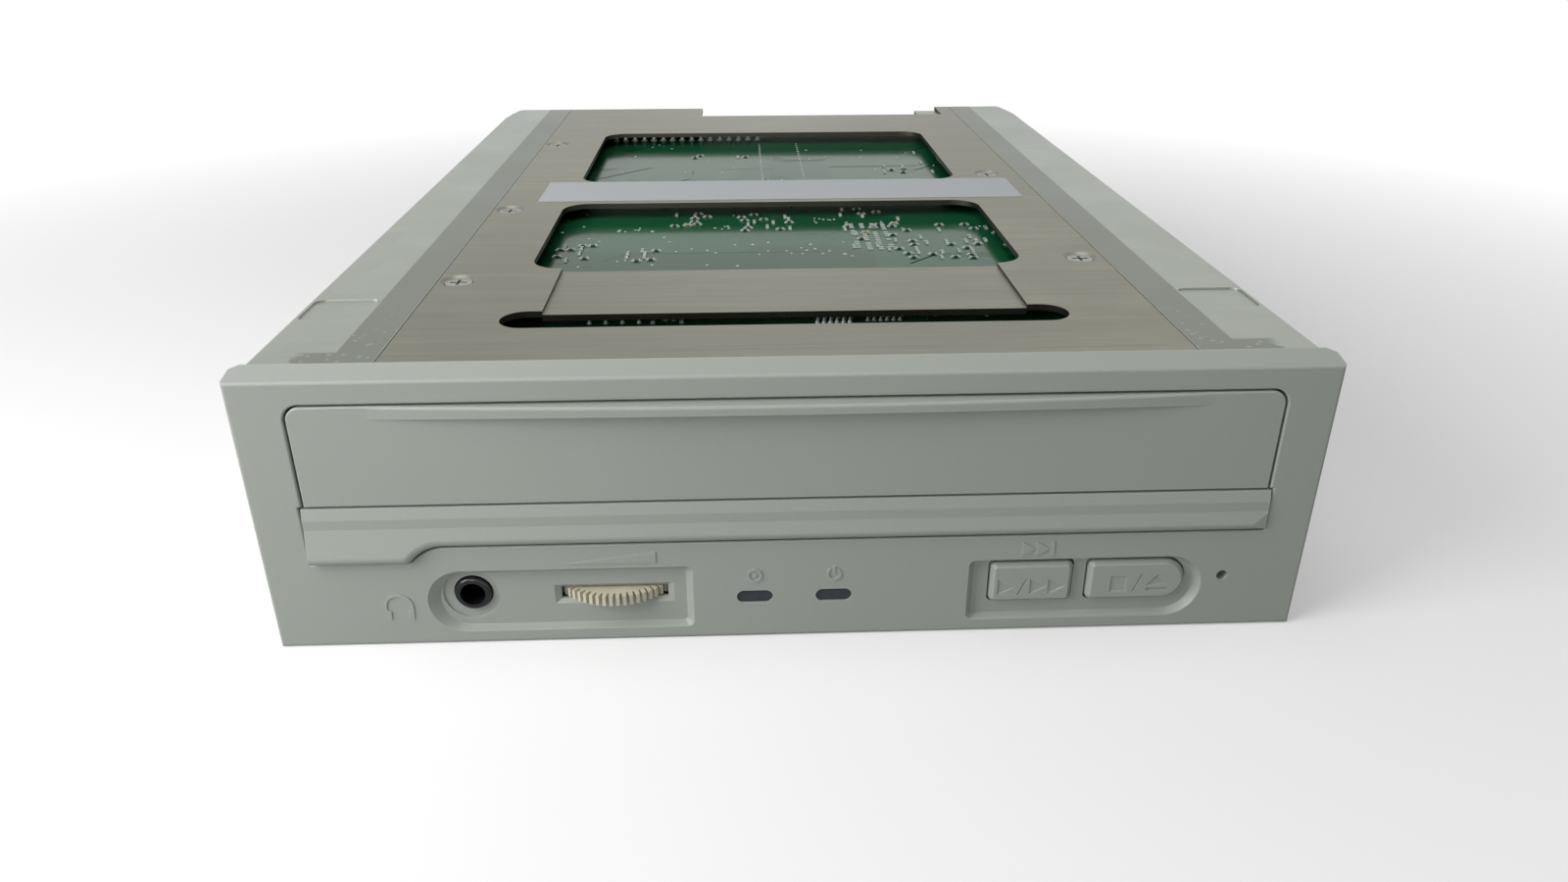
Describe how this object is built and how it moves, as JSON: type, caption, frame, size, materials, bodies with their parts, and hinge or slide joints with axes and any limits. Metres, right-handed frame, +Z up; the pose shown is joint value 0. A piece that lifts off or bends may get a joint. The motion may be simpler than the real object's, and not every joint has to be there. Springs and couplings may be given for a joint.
{
  "type": "tray-loading disc drive for a computer bay",
  "caption": "Half-height computer disc drive with a sliding tray, front headphone controls and an open-windowed cover.",
  "frame": {"origin": "under the middle of the whole drive, at the height of the bezel's lower edge", "axes": "+X right seen from the front, +Y from the front bezel to the rear sockets, +Z up"},
  "size_m": [0.1484, 0.2068, 0.0423],
  "materials": {
    "bezel_plastic": "fine moulded texture, aged light grey",
    "zinc_sheet": "zinc-plated sheet, satin",
    "brushed_cover": "brushed along the width",
    "tray_plastic": "fine texture",
    "dark_plastic": "plain moulded",
    "ivory_plastic": "satin moulded",
    "black_gloss": "gloss moulded",
    "circuit_board": "solder mask over laminate",
    "smoke_lens": "tinted clear plastic",
    "lamp_body": "tinted epoxy",
    "white_ribbon": "satin film",
    "white_nylon": "natural nylon",
    "brass": "turned",
    "motor_steel": "drawn can, satin",
    "rubber": "matt",
    "screw_steel": "bright plated",
    "lens_glass": "coated glass",
    "chip_black": "moulded epoxy",
    "capacitor_sleeve": "shrink sleeve",
    "gold_pin": "gold flashed",
    "tinned_pin": "tinned",
    "paper_label": "satin paper, bare"
  },
  "bodies": {
    "drive_frame": {"case_shell": "zinc_sheet", "top_cover": "brushed_cover", "bottom_cover": "zinc_sheet", "front_bezel": "bezel_plastic", "loader_frame": "dark_plastic", "volume_control": "dark_plastic", "headphone_jack": "black_gloss", "control_board": "circuit_board", "push_switches": "black_gloss", "lamp_lenses": "smoke_lens", "indicator_lamps": "lamp_body", "ribbon_cable": "white_ribbon", "ribbon_sockets": "white_nylon", "loading_motor": "motor_steel", "drive_belt": "rubber", "clamp_bridge": "zinc_sheet", "main_board": "circuit_board", "firmware_chip": "chip_black", "board_chips": "chip_black", "board_capacitors": "capacitor_sleeve", "data_header": "black_gloss", "data_pins": "gold_pin", "power_inlet": "white_nylon", "power_pins": "tinned_pin", "jumper_block": "black_gloss", "jumper_pins": "gold_pin", "jumper_caps": "black_gloss", "audio_socket": "black_gloss", "audio_pins": "gold_pin", "cover_label": "paper_label", "cover_screws": "screw_steel", "bottom_screws": "screw_steel", "inner_screws": "screw_steel"},
    "tray": {"disc_tray": "tray_plastic", "tray_door": "bezel_plastic", "tray_lower_strip": "bezel_plastic"},
    "play_key": {"play_button": "bezel_plastic"},
    "eject_key": {"eject_button": "bezel_plastic"},
    "thumb_wheel": {"volume_wheel": "ivory_plastic"},
    "tray_drive_gear": {"tray_gear": "white_nylon"},
    "belt_gear": {"pulley_gear": "white_nylon"},
    "belt_pulley": {"motor_pulley": "brass"},
    "deck": {"lift_frame": "dark_plastic", "pickup_deck": "zinc_sheet", "deck_grommets": "rubber", "deck_screws": "screw_steel", "spindle_motor": "motor_steel", "guide_rods": "screw_steel", "sled_motor": "motor_steel"},
    "left_cam": {"cam_plate_left": "white_nylon"},
    "right_cam": {"cam_plate_right": "white_nylon"},
    "spindle": {"spindle_shaft": "screw_steel", "turntable": "black_gloss"},
    "pickup": {"laser_sled": "dark_plastic"},
    "lens": {"lens_holder": "dark_plastic", "objective_lens": "lens_glass"},
    "sled_drive_gear": {"sled_gear": "white_nylon"},
    "sled_drive_pinion": {"sled_motor_pinion": "brass"},
    "clamp": {"clamp_disc": "tray_plastic", "clamp_keeper": "screw_steel"}
  },
  "joints": [
    {"name": "tray_slide", "type": "slide", "parent": "drive_frame", "child": "tray", "axis": [0, -1, 0], "range_m": [0, 0.135]},
    {"name": "tray_gear_turn", "type": "hinge", "parent": "drive_frame", "child": "tray_drive_gear", "pos_m": [-0.048, -0.07037, 0.02], "axis": [0, 0, 1], "range_deg": [-5, 778.5]},
    {"name": "pulley_gear_turn", "type": "hinge", "parent": "drive_frame", "child": "belt_gear", "pos_m": [-0.028, -0.07037, 0.017], "axis": [0, 0, 1], "range_deg": [-1994, 5]},
    {"name": "motor_pulley_turn", "type": "hinge", "parent": "drive_frame", "child": "belt_pulley", "pos_m": [0.004, -0.07037, 0.0156], "axis": [0, 0, 1], "range_deg": [-7297.9, 5]},
    {"name": "deck_lift", "type": "slide", "parent": "drive_frame", "child": "deck", "axis": [0, 0, 1], "range_m": [0, 0.0064]},
    {"name": "left_cam_slide", "type": "slide", "parent": "drive_frame", "child": "left_cam", "axis": [0, 1, 0], "range_m": [0, 0.0122]},
    {"name": "right_cam_slide", "type": "slide", "parent": "drive_frame", "child": "right_cam", "axis": [0, 1, 0], "range_m": [0, 0.0122]},
    {"name": "spindle_turn", "type": "hinge", "parent": "deck", "child": "spindle", "pos_m": [0, -0.03138, 0.018], "axis": [0, 0, 1], "continuous": true},
    {"name": "clamp_turn", "type": "hinge", "parent": "drive_frame", "child": "clamp", "pos_m": [0, -0.03138, 0.033], "axis": [0, 0, 1], "continuous": true},
    {"name": "sled_slide", "type": "slide", "parent": "deck", "child": "pickup", "axis": [0, 1, 0], "range_m": [0, 0.033]},
    {"name": "sled_gear_turn", "type": "hinge", "parent": "deck", "child": "sled_drive_gear", "pos_m": [-0.025, 0.01362, 0.016], "axis": [0, 0, 1], "range_deg": [-5, 320.1]},
    {"name": "sled_pinion_turn", "type": "hinge", "parent": "deck", "child": "sled_drive_pinion", "pos_m": [-0.025, 0.00263, 0.015], "axis": [0, 0, 1], "range_deg": [-845.3, 5]},
    {"name": "lens_focus", "type": "slide", "parent": "pickup", "child": "lens", "axis": [0, 0, 1], "range_m": [-0.00025, 0.0004], "stiffness_N_per_m": 60},
    {"name": "play_press", "type": "slide", "parent": "drive_frame", "child": "play_key", "axis": [0, 1, 0], "range_m": [0, 0.0008], "stiffness_N_per_m": 600},
    {"name": "eject_press", "type": "slide", "parent": "drive_frame", "child": "eject_key", "axis": [0, 1, 0], "range_m": [0, 0.0008], "stiffness_N_per_m": 600},
    {"name": "volume_turn", "type": "hinge", "parent": "drive_frame", "child": "thumb_wheel", "pos_m": [-0.0257, -0.09298, 0.00725], "axis": [0, 0, 1], "range_deg": [-135, 135]}
  ],
  "couplings": [
    {"joint": "tray_gear_turn", "follows": "tray_slide", "rad_per_m": 100},
    {"joint": "pulley_gear_turn", "follows": "tray_slide", "rad_per_m": -257.14},
    {"joint": "motor_pulley_turn", "follows": "tray_slide", "rad_per_m": -942.86},
    {"joint": "left_cam_slide", "follows": "deck_lift", "ratio": 1.875},
    {"joint": "right_cam_slide", "follows": "deck_lift", "ratio": 1.875},
    {"joint": "clamp_turn", "follows": "spindle_turn", "ratio": 1},
    {"joint": "sled_gear_turn", "follows": "sled_slide", "rad_per_m": 166.67},
    {"joint": "sled_pinion_turn", "follows": "sled_slide", "rad_per_m": -444.44}
  ]
}
